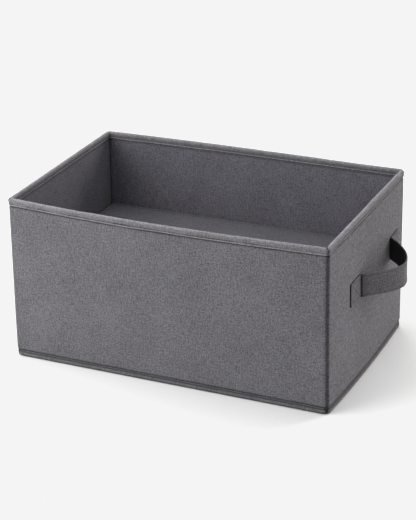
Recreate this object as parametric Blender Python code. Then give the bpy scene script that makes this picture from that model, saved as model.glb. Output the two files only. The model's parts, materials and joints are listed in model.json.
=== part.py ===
"""Soft-sided storage bin: stiffened fabric walls, bound rim, strap handles and a loose base insert.

Metres, +Z up.  The origin is the middle of the underside, X runs along the bin, Y across it.
Walls are built up in layers, each measured as a depth inwards from the outermost face.
"""
import math

import bmesh
import bpy
from mathutils import Vector

# Overall size, over the rim binding and the foot band
LENGTH = 0.387
WIDTH = 0.245
HEIGHT = 0.200
GAP = 0.0003                      # air left between two touching pieces

# Cloth and board thicknesses
BINDING = 0.0006
OUTER_CLOTH = 0.0008
BOARD = 0.0012
LINING = 0.0005
UNDERSIDE = 0.0012
PATCH = 0.0005
THREAD = 0.0004

# Rim binding and foot band
RIM_DROP = 0.0115                 # how far the binding reaches down each side of the rim
RIM_STITCH_Z = HEIGHT - 0.0086
FOOT_BAND_HEIGHT = 0.0078
FOOT_STITCH_Z = 0.0060
CORNER_RADIUS = 0.0030
CORNER_STEPS = 5

# Upright corner seams
SEAM_RADIUS = 0.0015
SEAM_STITCH_INSET = 0.0030        # from the panel's upright edge to the line of stitches
BOARD_EDGE_ROOM = 0.0030          # each board ends this far short of its cloth's upright edges

# Base insert
INSERT_TOP_Z = 0.1060
INSERT_CLOTH = 0.0009
INSERT_CORE = 0.0030
INSERT_HEM = 0.0180               # cloth turned under the core
INSERT_BACKING = 0.0004
INSERT_CLEARANCE = 0.0004         # to the narrowest place it passes, the rim's inner stitches
INSERT_STITCH_INSET = 0.0050
INSERT_CORNER = 0.0040

# Strap handles
STRAP_WIDTH = 0.0280
STRAP_CLOTH = 0.0010
WEBBING = 0.0008
STRAP_Z = 0.1175                  # middle of the strap
STRAP_Y = 0.0195                  # middle of the strap along the end wall
TAB_LENGTH = 0.0290
TAB_SPAN = 0.1590                 # over both sewn ends
LOOP_RISE = 0.0360                # how far the loop stands off the wall
LOOP_STEPS = 28
SWING_UP_DEG = 45.0
SWING_DOWN_DEG = 30.0
SWING_MARGIN = 0.0006             # air kept to the wall when the loop is swung right over
PATCH_MARGIN = 0.0040
BOX_STITCH_INSET = 0.0035

# Depths of the layers, inwards from the outermost face
OUTER_DEPTH = BINDING + GAP
BOARD_DEPTH = OUTER_DEPTH + OUTER_CLOTH + GAP
LINING_DEPTH = BOARD_DEPTH + BOARD + GAP
INNER_LEG_DEPTH = LINING_DEPTH + LINING + GAP
RIM_DEPTH = INNER_LEG_DEPTH + BINDING
WALL_FOOT_Z = UNDERSIDE + GAP
WALL_TOP_Z = HEIGHT - BINDING - GAP

HALF = Vector((LENGTH / 2, WIDTH / 2, 0.0))

LOOKS = {
    "outer_cloth": ((0.150, 0.148, 0.156), 0.92),
    "lining_cloth": ((0.105, 0.103, 0.115), 0.94),
    "binding_cloth": ((0.170, 0.168, 0.176), 0.90),
    "strap_cloth": ((0.140, 0.138, 0.142), 0.90),
    "black_webbing": ((0.010, 0.010, 0.011), 0.80),
    "board": ((0.420, 0.330, 0.230), 0.85),
    "backing_paper": ((0.080, 0.080, 0.085), 0.90),
    "thread": ((0.060, 0.060, 0.064), 0.70),
}


def clear_scene():
    for old in list(bpy.data.objects):
        bpy.data.objects.remove(old, do_unlink=True)


def look(name):
    """The cloth, board or thread finish of that name, made once."""
    material = bpy.data.materials.get(name)
    if material is None:
        colour, roughness = LOOKS[name]
        material = bpy.data.materials.new(name)
        material.use_nodes = True
        shader = material.node_tree.nodes["Principled BSDF"]
        shader.inputs["Base Color"].default_value = (*colour, 1.0)
        shader.inputs["Roughness"].default_value = roughness
        shader.inputs["Metallic"].default_value = 0.0
    return material


def hub(name, place):
    """An empty that carries the pieces of one moving group."""
    empty = bpy.data.objects.new(name, None)
    empty.location = place
    bpy.context.collection.objects.link(empty)
    return empty


def piece(name, bm, finish, carrier, origin):
    """Put a mesh built in world coordinates on an object whose origin is at the given place."""
    bmesh.ops.recalc_face_normals(bm, faces=bm.faces[:])
    bmesh.ops.translate(bm, verts=bm.verts[:], vec=-Vector(origin))
    mesh = bpy.data.meshes.new(name)
    bm.to_mesh(mesh)
    bm.free()
    mesh.materials.append(look(finish))
    obj = bpy.data.objects.new(name, mesh)
    obj.parent = carrier
    obj.location = Vector(origin) - carrier.location
    bpy.context.collection.objects.link(obj)
    return obj


def slab_mesh(low, high):
    """A plain rectangular slab between two corners."""
    bm = bmesh.new()
    size = [b - a for a, b in zip(low, high)]
    bmesh.ops.create_cube(bm, size=1.0)
    bmesh.ops.scale(bm, verts=bm.verts[:], vec=size)
    bmesh.ops.translate(bm, verts=bm.verts[:], vec=[(a + b) / 2 for a, b in zip(low, high)])
    return bm


def slab(name, low, high, finish, carrier):
    origin = [(a + b) / 2 for a, b in zip(low, high)]
    return piece(name, slab_mesh(low, high), finish, carrier, origin)


def rounded_outline(half_x, half_y, radius, steps=CORNER_STEPS):
    """Points of a rectangle with arc corners, anticlockwise from the +X side."""
    points = []
    for quarter, (sx, sy) in enumerate(((1, 1), (-1, 1), (-1, -1), (1, -1))):
        centre = Vector((sx * (half_x - radius), sy * (half_y - radius)))
        for step in range(steps + 1):
            angle = math.pi / 2 * (quarter + step / steps)
            points.append(centre + radius * Vector((math.cos(angle), math.sin(angle))))
    return points


def outline_at_depth(depth):
    """The bin's outline, that far in from its outermost face; deep corners stay nearly sharp."""
    radius = max(CORNER_RADIUS - depth, GAP)
    return rounded_outline(HALF.x - depth, HALF.y - depth, radius)


def ring_mesh(section):
    """Carry a closed section of (depth, height) points round the bin's outline."""
    bm = bmesh.new()
    loops = []
    for depth, height in section:
        loops.append([bm.verts.new((p.x, p.y, height)) for p in outline_at_depth(depth)])
    count = len(loops[0])
    for a, b in zip(loops, loops[1:] + loops[:1]):
        for i in range(count):
            j = (i + 1) % count
            bm.faces.new((a[i], a[j], b[j], b[i]))
    return bm


def ring(name, section, finish, carrier):
    middle = sum(height for _, height in section) / len(section)
    return piece(name, ring_mesh(section), finish, carrier, (0, 0, middle))


def square_section(depth, height, size=THREAD):
    return [(depth, height), (depth, height + size), (depth + size, height + size), (depth + size, height)]


def plate_mesh(half_x, half_y, radius, low, high):
    """A flat plate with rounded corners."""
    bm = bmesh.new()
    base = [bm.verts.new((p.x, p.y, low)) for p in rounded_outline(half_x, half_y, radius)]
    bottom = bm.faces.new(base)
    grown = bmesh.ops.extrude_face_region(bm, geom=[bottom])
    top = [v for v in grown["geom"] if isinstance(v, bmesh.types.BMVert)]
    bmesh.ops.translate(bm, verts=top, vec=(0, 0, high - low))
    return bm


def plate(name, half_x, half_y, radius, low, high, finish, carrier):
    bm = plate_mesh(half_x, half_y, radius, low, high)
    return piece(name, bm, finish, carrier, (0, 0, (low + high) / 2))


def cut(target, name, bm):
    """Take a cutter's shape out of a piece; the cutter stays hidden in the scene."""
    cutter = piece(name, bm, "board", target.parent, target.parent.location)
    cutter.display_type = "WIRE"
    cutter.hide_render = True
    boolean = target.modifiers.new(name, "BOOLEAN")
    boolean.operation = "DIFFERENCE"
    boolean.solver = "EXACT"
    boolean.object = cutter


def wall_layer(prefix, depth, thickness, half_x, half_y, finish, shell):
    """One layer of the four walls: two long panels and two end panels."""
    low, high = WALL_FOOT_Z, WALL_TOP_Z
    panels = {}
    for side, sign in (("front", -1), ("back", 1)):
        near, far = sorted((sign * (HALF.y - depth), sign * (HALF.y - depth - thickness)))
        panels[side] = slab(f"{prefix}_{side}", (-half_x, near, low), (half_x, far, high), finish, shell)
    for side, sign in (("left", -1), ("right", 1)):
        near, far = sorted((sign * (HALF.x - depth), sign * (HALF.x - depth - thickness)))
        panels[side] = slab(f"{prefix}_{side}", (near, -half_y, low), (far, half_y, high), finish, shell)
    return panels


def build_walls(shell):
    """Outer cloth, boards and lining, and the cloth underside and floor."""
    seam_zone = OUTER_DEPTH + 2 * SEAM_RADIUS + GAP
    wall_layer("outer", OUTER_DEPTH, OUTER_CLOTH, HALF.x - seam_zone, HALF.y - seam_zone,
               "outer_cloth", shell)
    board_inset = BOARD_DEPTH + BOARD + BOARD_EDGE_ROOM
    boards = wall_layer("board", BOARD_DEPTH, BOARD, HALF.x - board_inset, HALF.y - board_inset,
                        "board", shell)
    wall_layer("lining", LINING_DEPTH, LINING, HALF.x - INNER_LEG_DEPTH, HALF.y - LINING_DEPTH - GAP,
               "lining_cloth", shell)
    plate("outer_underside", HALF.x - OUTER_DEPTH - GAP, HALF.y - OUTER_DEPTH - GAP,
          CORNER_RADIUS, 0.0, UNDERSIDE, "outer_cloth", shell)
    floor_low = UNDERSIDE + GAP
    floor_reach = INNER_LEG_DEPTH + GAP
    plate("lining_floor", HALF.x - floor_reach, HALF.y - floor_reach, CORNER_RADIUS,
          floor_low, floor_low + LINING, "lining_cloth", shell)
    return boards


def build_corner_seams(shell):
    """The rolled seam allowance standing up each corner, and the stitches beside it."""
    centre = OUTER_DEPTH + SEAM_RADIUS
    stitch_x = HALF.x - OUTER_DEPTH - 2 * SEAM_RADIUS - SEAM_STITCH_INSET
    stitch_low = FOOT_BAND_HEIGHT + GAP
    stitch_high = HEIGHT - RIM_DROP - GAP
    face_y = HALF.y - OUTER_DEPTH + GAP
    for end, sx in (("left", -1), ("right", 1)):
        for side, sy in (("front", -1), ("back", 1)):
            bm = bmesh.new()
            tall = WALL_TOP_Z - WALL_FOOT_Z
            bmesh.ops.create_cone(bm, cap_ends=True, segments=16, radius1=SEAM_RADIUS,
                                  radius2=SEAM_RADIUS, depth=tall)
            place = Vector((sx * (HALF.x - centre), sy * (HALF.y - centre), WALL_FOOT_Z + tall / 2))
            bmesh.ops.translate(bm, verts=bm.verts[:], vec=place)
            piece(f"corner_seam_{side}_{end}", bm, "binding_cloth", shell, place)
            x_pair = sorted((sx * stitch_x, sx * (stitch_x + THREAD)))
            y_pair = sorted((sy * face_y, sy * (face_y + THREAD)))
            slab(f"corner_thread_{side}_{end}", (x_pair[0], y_pair[0], stitch_low),
                 (x_pair[1], y_pair[1], stitch_high), "thread", shell)


def build_rim_and_foot(shell):
    """Binding folded over the rim, band round the foot, and their lines of stitches."""
    leg = HEIGHT - RIM_DROP
    crest = BINDING / 2
    section = [
        (0.0, leg), (0.0, HEIGHT - crest), (crest, HEIGHT), (RIM_DEPTH - crest, HEIGHT),
        (RIM_DEPTH, HEIGHT - crest), (RIM_DEPTH, leg), (INNER_LEG_DEPTH, leg),
        (INNER_LEG_DEPTH, HEIGHT - BINDING), (BINDING, HEIGHT - BINDING), (BINDING, leg),
    ]
    ring("rim_binding", section, "binding_cloth", shell)
    ring("rim_thread_outer", square_section(-GAP - THREAD, RIM_STITCH_Z), "thread", shell)
    ring("rim_thread_inner", square_section(RIM_DEPTH + GAP, RIM_STITCH_Z), "thread", shell)
    band = [(0.0, GAP), (0.0, FOOT_BAND_HEIGHT), (BINDING, FOOT_BAND_HEIGHT), (BINDING, GAP)]
    ring("foot_band", band, "binding_cloth", shell)
    ring("foot_thread", square_section(-GAP - THREAD, FOOT_STITCH_Z), "thread", shell)


def build_insert(carrier):
    """Loose base insert: a board wrapped in cloth, its hem glued under a paper backing."""
    reach = RIM_DEPTH + GAP + THREAD + INSERT_CLEARANCE
    half_x, half_y = HALF.x - reach, HALF.y - reach
    core_inset = INSERT_CLOTH + GAP
    top = INSERT_TOP_Z
    core_high = top - core_inset
    core_low = core_high - INSERT_CORE
    hem_high = core_low - GAP
    hem_low = hem_high - INSERT_CLOTH
    cover = plate("insert_cover", half_x, half_y, INSERT_CORNER, hem_low, top, "lining_cloth", carrier)
    hollow = plate_mesh(half_x - INSERT_CLOTH, half_y - INSERT_CLOTH, INSERT_CORNER - INSERT_CLOTH,
                        hem_high, top - INSERT_CLOTH)
    cut(cover, "insert_hollow_cutter", hollow)
    window = plate_mesh(half_x - INSERT_HEM, half_y - INSERT_HEM, INSERT_CORNER,
                        hem_low - INSERT_CLOTH, hem_high + GAP)
    cut(cover, "insert_window_cutter", window)
    plate("insert_board", half_x - core_inset, half_y - core_inset, INSERT_CORNER - core_inset,
          core_low, core_high, "board", carrier)
    backing_high = hem_low - GAP
    backing_inset = INSERT_HEM / 3
    plate("insert_backing", half_x - backing_inset, half_y - backing_inset, INSERT_CORNER,
          backing_high - INSERT_BACKING, backing_high, "backing_paper", carrier)
    stitch_low = top + GAP
    outer = half_x - INSERT_STITCH_INSET, half_y - INSERT_STITCH_INSET
    thread = plate("insert_thread", *outer, INSERT_CORNER, stitch_low, stitch_low + THREAD,
                   "thread", carrier)
    hole = plate_mesh(outer[0] - THREAD, outer[1] - THREAD, INSERT_CORNER - THREAD,
                      stitch_low - THREAD, stitch_low + 2 * THREAD)
    cut(thread, "insert_thread_cutter", hole)


def loop_half_height(stand_off, swing_deg):
    """Half the strap's width, cut to a point near the wall so that the loop can swing that far."""
    room = max(stand_off - SWING_MARGIN, GAP) / math.tan(math.radians(swing_deg))
    return min(STRAP_WIDTH / 2, room)


def loop_mesh(sign, wall_x, inner, thickness):
    """One layer of the strap's loop: a parabola in plan, with its layer offset along the normal."""
    layers = WEBBING + GAP + STRAP_CLOTH
    half_chord = TAB_SPAN / 2 - TAB_LENGTH - layers
    bm = bmesh.new()
    rows = []
    for step in range(LOOP_STEPS + 1):
        t = -1 + 2 * step / LOOP_STEPS
        along = half_chord * t
        rise = LOOP_RISE * (1 - t * t)
        slope = -2 * LOOP_RISE * t / half_chord
        normal = Vector((1.0, -slope)).normalized()
        row = []
        for depth, keep_up in ((inner, True), (inner + thickness, True),
                               (inner + thickness, False), (inner, False)):
            off = rise + depth * normal.x + SWING_MARGIN
            y = STRAP_Y + along + depth * normal.y
            if keep_up:
                z = STRAP_Z + loop_half_height(off, SWING_UP_DEG)
            else:
                z = STRAP_Z - loop_half_height(off, SWING_DOWN_DEG)
            row.append(bm.verts.new((sign * (wall_x + off), y, z)))
        rows.append(row)
    for a, b in zip(rows, rows[1:]):
        for i in range(4):
            j = (i + 1) % 4
            bm.faces.new((a[i], a[j], b[j], b[i]))
    bm.faces.new(rows[0])
    bm.faces.new(rows[-1])
    return bm


def stitch_box_mesh(sign, x_low, y_low, y_high):
    """A sewn box with a cross in it, as one flat figure of thread."""
    z_low = STRAP_Z - STRAP_WIDTH / 2 + BOX_STITCH_INSET
    z_high = STRAP_Z + STRAP_WIDTH / 2 - BOX_STITCH_INSET
    y_low, y_high = y_low + BOX_STITCH_INSET, y_high - BOX_STITCH_INSET
    corners = [Vector((y_low, z_low)), Vector((y_high, z_low)),
               Vector((y_high, z_high)), Vector((y_low, z_high))]
    centre = (corners[0] + corners[2]) / 2
    half = THREAD / 2
    outer = [c + Vector((math.copysign(half, c.x - centre.x), math.copysign(half, c.y - centre.y)))
             for c in corners]
    inner = [c - (o - c) for c, o in zip(corners, outer)]
    bm = bmesh.new()
    fronts = []
    for x in (sign * x_low, sign * (x_low + THREAD)):
        rim = [bm.verts.new((x, p.x, p.y)) for p in outer]
        arms = []
        for i in range(4):
            before = inner[i].lerp(inner[i - 1], 2 * half / (inner[i] - inner[i - 1]).length)
            after = inner[i].lerp(inner[(i + 1) % 4], 2 * half / (inner[i] - inner[(i + 1) % 4]).length)
            arms.append([bm.verts.new((x, p.x, p.y)) for p in (before, after)])
        hub_points = []
        for i in range(4):
            toward = (inner[i] + inner[(i + 1) % 4]) / 2 - centre
            p = centre + toward.normalized() * (2 * half)
            hub_points.append(bm.verts.new((x, p.x, p.y)))
        fronts.append((rim, arms, hub_points))
        for i in range(4):
            j = (i + 1) % 4
            bm.faces.new((rim[i], rim[j], arms[j][0], arms[i][1]))
            bm.faces.new((rim[i], arms[i][1], hub_points[i], hub_points[i - 1], arms[i][0]))
        bm.faces.new(hub_points)
    return bm, fronts


def stitch_box(name, sign, x_low, y_low, y_high, carrier):
    bm, (back, front) = stitch_box_mesh(sign, x_low, y_low, y_high)
    for i in range(4):
        j = (i + 1) % 4
        bm.faces.new((back[0][i], back[0][j], front[0][j], front[0][i]))
        bm.faces.new((back[1][i][1], back[1][j][0], front[1][j][0], front[1][i][1]))
        bm.faces.new((back[1][i][1], back[2][i], front[2][i], front[1][i][1]))
        bm.faces.new((back[2][i], back[1][j][0], front[1][j][0], front[2][i]))
    middle = (sign * x_low, (y_low + y_high) / 2, STRAP_Z)
    return piece(name, bm, "thread", carrier, middle)


def build_handle(end, sign, shell, swing, board):
    """Strap handle on one end wall: two sewn ends on the wall and the loop that swings between them."""
    wall_x = HALF.x - OUTER_DEPTH
    z_low, z_high = STRAP_Z - STRAP_WIDTH / 2, STRAP_Z + STRAP_WIDTH / 2
    webbing_x = wall_x + GAP
    cloth_x = webbing_x + WEBBING + GAP
    stitch_x = cloth_x + STRAP_CLOTH + GAP
    board_x = HALF.x - BOARD_DEPTH
    span_low = STRAP_Y - TAB_SPAN / 2
    span_high = STRAP_Y + TAB_SPAN / 2
    tabs = (("front", span_low, span_low + TAB_LENGTH), ("back", span_high - TAB_LENGTH, span_high))
    for side, y_low, y_high in tabs:
        for part, near, thick, finish in (("webbing_end", webbing_x, WEBBING, "black_webbing"),
                                          ("strap_end", cloth_x, STRAP_CLOTH, "strap_cloth")):
            x_pair = sorted((sign * near, sign * (near + thick)))
            slab(f"handle_{end}_{part}_{side}", (x_pair[0], y_low, z_low),
                 (x_pair[1], y_high, z_high), finish, shell)
        stitch_box(f"handle_{end}_stitch_{side}", sign, stitch_x, y_low, y_high, shell)
        patch_deep = PATCH + GAP
        pocket = sorted((sign * (board_x + GAP), sign * (board_x - patch_deep)))
        grown = PATCH_MARGIN + GAP
        cut(board, f"patch_pocket_cutter_{end}_{side}",
            slab_mesh((pocket[0], y_low - grown, z_low - grown), (pocket[1], y_high + grown, z_high + grown)))
        patch = sorted((sign * board_x, sign * (board_x - PATCH)))
        slab(f"handle_{end}_patch_{side}", (patch[0], y_low - PATCH_MARGIN, z_low - PATCH_MARGIN),
             (patch[1], y_high + PATCH_MARGIN, z_high + PATCH_MARGIN), "backing_paper", shell)
    axis = swing.location
    piece(f"handle_{end}_webbing", loop_mesh(sign, wall_x, 0.0, WEBBING), "black_webbing", swing, axis)
    piece(f"handle_{end}_strap", loop_mesh(sign, wall_x, WEBBING + GAP, STRAP_CLOTH),
          "strap_cloth", swing, axis)


def main():
    clear_scene()
    shell = hub("bin_shell", (0, 0, 0))
    boards = build_walls(shell)
    build_corner_seams(shell)
    build_rim_and_foot(shell)
    build_insert(hub("base_insert_slide", (0, 0, INSERT_TOP_Z)))
    wall_x = HALF.x - OUTER_DEPTH
    for end, sign in (("left", -1), ("right", 1)):
        swing = hub(f"handle_{end}_hinge", (sign * wall_x, STRAP_Y, STRAP_Z))
        build_handle(end, sign, shell, swing, boards[end])


main()
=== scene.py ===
import json
import math
import bmesh
import bpy
import numpy as np
from mathutils import Matrix, Vector


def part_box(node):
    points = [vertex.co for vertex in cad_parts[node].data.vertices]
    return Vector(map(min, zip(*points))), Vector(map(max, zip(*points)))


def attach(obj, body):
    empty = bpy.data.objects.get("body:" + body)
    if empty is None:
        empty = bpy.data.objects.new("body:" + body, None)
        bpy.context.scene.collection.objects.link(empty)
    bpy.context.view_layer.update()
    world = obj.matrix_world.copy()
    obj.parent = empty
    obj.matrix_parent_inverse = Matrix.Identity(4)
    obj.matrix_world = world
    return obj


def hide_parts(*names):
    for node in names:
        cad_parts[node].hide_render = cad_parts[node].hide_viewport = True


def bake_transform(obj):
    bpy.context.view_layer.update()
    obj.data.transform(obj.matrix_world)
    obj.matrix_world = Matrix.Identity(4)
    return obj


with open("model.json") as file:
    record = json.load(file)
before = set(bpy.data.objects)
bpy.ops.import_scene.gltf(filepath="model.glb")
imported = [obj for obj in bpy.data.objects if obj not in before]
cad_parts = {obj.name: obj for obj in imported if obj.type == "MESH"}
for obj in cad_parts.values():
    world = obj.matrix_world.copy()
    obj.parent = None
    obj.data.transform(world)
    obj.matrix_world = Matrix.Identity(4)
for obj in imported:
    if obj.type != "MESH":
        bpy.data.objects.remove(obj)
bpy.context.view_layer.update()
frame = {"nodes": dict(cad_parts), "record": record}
print("stage: frame loaded")

mm = 0.001
boxOf = {node: (np.array(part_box(node)[0]), np.array(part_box(node)[1])) for node in frame["nodes"]}

# faces of the bin that everything else is measured from
halfLong, halfWide, binHeight = boxOf["rim_binding"][1]
faceLong = boxOf["outer_right"][1][0]      # outer face of the end walls
faceWide = boxOf["outer_back"][1][1]       # outer face of the long walls
innerLong = boxOf["lining_right"][0][0]     # faces of the lining
innerWide = boxOf["lining_back"][0][1]


def smoothStep(x):
    # 3x^2 - 2x^3 between 0 and 1
    x = np.clip(x, 0.0, 1.0)
    return x * x * (3.0 - 2.0 * x)


def bell(x, width):
    # a bump of height 1 that fades over about twice the width
    return np.exp(-(x / width) ** 2)


def ripple(u, v, size, seed, waves=9):
    # sum of sine waves of random direction and phase, about -1 to 1, each about one size long
    rng = np.random.default_rng(seed)
    total = np.zeros(np.broadcast(u, v).shape)
    for _ in range(waves):
        turn = rng.uniform(0, 2 * math.pi)
        phase = rng.uniform(0, 2 * math.pi)
        length = size * rng.uniform(0.7, 1.6)
        total += np.sin(2 * math.pi * (u * math.cos(turn) + v * math.sin(turn)) / length + phase)
    return total / math.sqrt(waves * 2.0)


def roundRipple(s, around, count, seed):
    # sum of whole waves round a closed path of the given length, about -1 to 1
    rng = np.random.default_rng(seed)
    total = np.zeros_like(s)
    for k in range(1, count + 1):
        total += rng.normal() * np.sin(2 * math.pi * k * s / around + rng.uniform(0, 2 * math.pi))
    return total / math.sqrt(count)


def addObject(name, data):
    obj = bpy.data.objects.new(name, data)
    bpy.context.scene.collection.objects.link(obj)
    return obj


def gridPiece(name, points, uv, closeRows=False, closeCols=False, capEnds=False, flip=False, paintedShading=None):
    # a grid of points (rows, cols, 3) as one surface, with its cloth UVs in metres and, where
    # given, its painted shading: painted shade from 0 to 1, painted highlight below 0
    rows, cols = points.shape[:2]
    i, j = np.meshgrid(np.arange(rows if closeRows else rows - 1),
                       np.arange(cols if closeCols else cols - 1), indexing="ij")
    corners = [(i, j), (i, j + 1), (i + 1, j + 1), (i + 1, j)]
    if flip:
        corners.reverse()
    faces = np.stack([(a % rows) * cols + b % cols for a, b in corners], -1).reshape(-1, 4)
    uvAt = np.stack([a * uv.shape[1] + b for a, b in corners], -1).reshape(-1)
    faceList = faces.tolist()
    if capEnds:
        ring = np.arange(cols) if flip else np.arange(cols)[::-1]
        faceList += [ring.tolist(), ((rows - 1) * cols + ring[::-1]).tolist()]
        uvAt = np.concatenate([uvAt, ring, (uv.shape[0] - 1) * uv.shape[1] + ring[::-1]])
    mesh = bpy.data.meshes.new(name)
    mesh.from_pydata(points.reshape(-1, 3).tolist(), [], faceList)
    layer = mesh.uv_layers.new(name="clothUv")
    layer.data.foreach_set("uv", uv.reshape(-1, 2)[uvAt].astype(np.float32).ravel())
    if paintedShading is not None:
        paintedShadingLayer = mesh.attributes.new("paintedShading", "FLOAT", "POINT")
        paintedShadingLayer.data.foreach_set("value", np.clip(paintedShading, -1, 1).astype(np.float32).ravel())
    mesh.shade_smooth()
    mesh.update()
    return addObject(name, mesh)


def thicken(obj, thickness):
    # cloth gets its thickness on its inner side
    solid = obj.modifiers.new("thickness", "SOLIDIFY")
    solid.thickness = thickness
    solid.offset = -1.0
    solid.use_even_offset = False


def outlinePath(halfX, halfY, radius, step, arcSteps):
    # points round a rectangle with arc corners, anticlockwise from the start of the front right arc:
    # sideX and sideY run from -1 to 1 along the straights, normal points out, s is the length so far
    sideX, sideY, angle = [], [], []
    corners = [(1, -1, -0.5), (1, 1, 0.0), (-1, 1, 0.5), (-1, -1, 1.0)]
    for k, (cx, cy, start) in enumerate(corners):
        arc = np.linspace(0, 1, arcSteps + 1)
        sideX.append(np.full(arcSteps + 1, float(cx)))
        sideY.append(np.full(arcSteps + 1, float(cy)))
        angle.append(math.pi * (start + 0.5 * arc))
        nx, ny = corners[(k + 1) % 4][:2]
        run = 2 * (halfY - radius) if nx == cx else 2 * (halfX - radius)
        inner = np.linspace(0, 1, max(int(run / step), 2) + 1)[1:-1]
        sideX.append(cx + (nx - cx) * inner)
        sideY.append(cy + (ny - cy) * inner)
        angle.append(np.full(len(inner), math.pi * (start + 0.5)))
    path = {"sideX": np.concatenate(sideX), "sideY": np.concatenate(sideY)}
    turn = np.concatenate(angle)
    path["normal"] = np.stack([np.cos(turn), np.sin(turn)], -1)
    path["half"] = (halfX, halfY)
    path["radius"] = radius
    flat = outlineAt(path, np.zeros(1))[:, 0]
    path["s"] = lengthAlong(np.vstack([flat, flat[:1]]))
    path["around"] = path["s"][-1]
    path["corner"] = cornerDistance(path)
    return path


def outlineAt(path, depth, least=0.5 * mm):
    # the outline that far in, by one depth or one for every point of the path:
    # straights shorten and arcs tighten down to a least radius
    radius = np.maximum(path["radius"] - depth, least)
    runX = path["half"][0] - depth - radius
    runY = path["half"][1] - depth - radius
    x = path["sideX"][:, None] * runX + path["normal"][:, :1] * radius
    y = path["sideY"][:, None] * runY + path["normal"][:, 1:] * radius
    return np.stack([x, y], -1)


def lengthAlong(points):
    # length so far along a line of points
    return np.concatenate([[0.0], np.cumsum(np.linalg.norm(np.diff(points, axis=0), axis=1))])


def spreadAlong(line, pitch, ahead, whole=round):
    # points evenly spaced along a line of points, and the way on from each of them
    length = lengthAlong(line)
    count = int(whole(length[-1] / pitch))
    at = (np.arange(count) + 0.5) * length[-1] / count
    spot, onward = (np.stack([np.interp(where, length, column) for column in line.T], -1)
                    for where in (at, at + ahead))
    return spot, onward - spot


def allRound(profile, path):
    # the same profile for every point of the path
    return np.repeat(profile[None], len(path["sideX"]), axis=0)


def stitchPuckers(path):
    # gathers between stitches round a path, 0 to 1
    around = path["around"]
    turns = round(around / stitchShape["pitch"])
    return 0.5 + 0.5 * np.cos(2 * math.pi * path["s"][:-1, None] * turns / around)


def cornerDistance(path):
    # signed way along the path to the nearest corner's middle, and which corner that is
    s = path["s"][:-1]
    quarter = path["radius"] * math.pi / 4
    halfX, halfY = path["half"]
    sideLong, sideWide = 2 * (halfX - path["radius"]), 2 * (halfY - path["radius"])
    arc = 2 * quarter
    middles = np.array([quarter, arc + sideWide + quarter, 2 * arc + sideWide + sideLong + quarter,
                        3 * arc + 2 * sideWide + sideLong + quarter])
    gap = s[:, None] - middles[None, :]
    around = path["around"]
    gap = (gap + around / 2) % around - around / 2
    nearest = np.abs(gap).argmin(axis=1)
    return {"gap": gap[np.arange(len(s)), nearest], "which": nearest}


def carryProfile(name, path, depth, height, paintedShading):
    # a closed profile, given as depth in and height for every point of the path, carried round it
    spread = outlineAt(path, depth)
    points = bowed(np.concatenate([spread, height[..., None]], -1))
    across = np.linalg.norm(np.diff(np.stack([depth, height], -1), axis=1), axis=2).mean(axis=0)
    v = np.concatenate([[0.0], np.cumsum(across)])
    closing = np.linalg.norm([depth[0, -1] - depth[0, 0], height[0, -1] - height[0, 0]])
    v = np.concatenate([v, [v[-1] + closing]])
    uv = np.stack(np.meshgrid(path["s"], v, indexing="ij"), -1)
    return gridPiece(name, points, uv, closeRows=True, closeCols=True, paintedShading=paintedShading)


yarnPitch = 0.62 * mm
clothLook = {
    "outer": {"albedo": (0.1085, 0.1048, 0.1155), "contrast": 0.56},
    "lining": {"albedo": (0.1210, 0.1165, 0.1365), "contrast": 0.52},
    # the binding is cut from the outer cloth but made lighter: painted light for the brighter lit rim
    "binding": {"albedo": (0.1345, 0.1300, 0.1420), "contrast": 0.52},
    "strap": {"albedo": (0.1040, 0.0975, 0.1040), "contrast": 0.60},
    "creaseShade": 0.92,          # how much darker painted shade makes the deepest creases, and how much lighter painted highlight makes the crests
    "sheen": 0.10,
    # the noises that heather the cloth: grain size across and along it, detail, shift, weight
    "layers": {
        "warp": ((2.2 * yarnPitch, 18 * yarnPitch), 2.0, 3.1, 0.22),
        "weft": ((18 * yarnPitch, 2.2 * yarnPitch), 2.0, 9.7, 0.16),
        "slub": ((2.8 * yarnPitch, 3.6 * yarnPitch), 3.0, 17.3, 0.40),
        "grain": ((2.0 * yarnPitch, 2.3 * yarnPitch), 2.0, 29.9, 0.36),
        "cloud": ((0.040, 0.055), 2.0, 5.5, 0.10),
    },
}


def newMaterial(name):
    material = bpy.data.materials.new(name)
    material.use_nodes = True
    return material, material.node_tree, material.node_tree.nodes["Principled BSDF"]


def feed(tree, socket, value):
    # a socket takes another node's output or a plain value
    if isinstance(value, bpy.types.NodeSocket):
        tree.links.new(value, socket)
    elif value is not None:
        socket.default_value = value


def makeNode(tree, kind, settings=None, **inputs):
    node = tree.nodes.new(kind)
    for key, value in (settings or {}).items():
        setattr(node, key, value)
    for key, value in inputs.items():
        feed(tree, node.inputs[key], value)
    return node


def mathNode(tree, operation, a, b=None, c=None, clamp=False):
    node = makeNode(tree, "ShaderNodeMath", {"operation": operation, "use_clamp": clamp})
    for socket, value in zip(node.inputs, (a, b, c)):
        feed(tree, socket, value)
    return node.outputs[0]


def mixColours(tree, share, dark, light):
    mix = makeNode(tree, "ShaderNodeMix", {"data_type": "RGBA"})
    for place, value in ((0, share), (6, (*dark, 1.0)), (7, (*light, 1.0))):
        feed(tree, mix.inputs[place], value)
    return mix.outputs[2]


def finishSurface(tree, shader, colour, relief, strength, distance, rough, specular=None):
    # colour, bump, roughness and gloss of one finish
    bump = makeNode(tree, "ShaderNodeBump", Height=relief, Strength=strength, Distance=distance)
    for key, value in (("Base Color", colour), ("Normal", bump.outputs[0]), ("Roughness", rough),
                       ("Specular IOR Level", specular)):
        feed(tree, shader.inputs[key], value)


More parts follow.
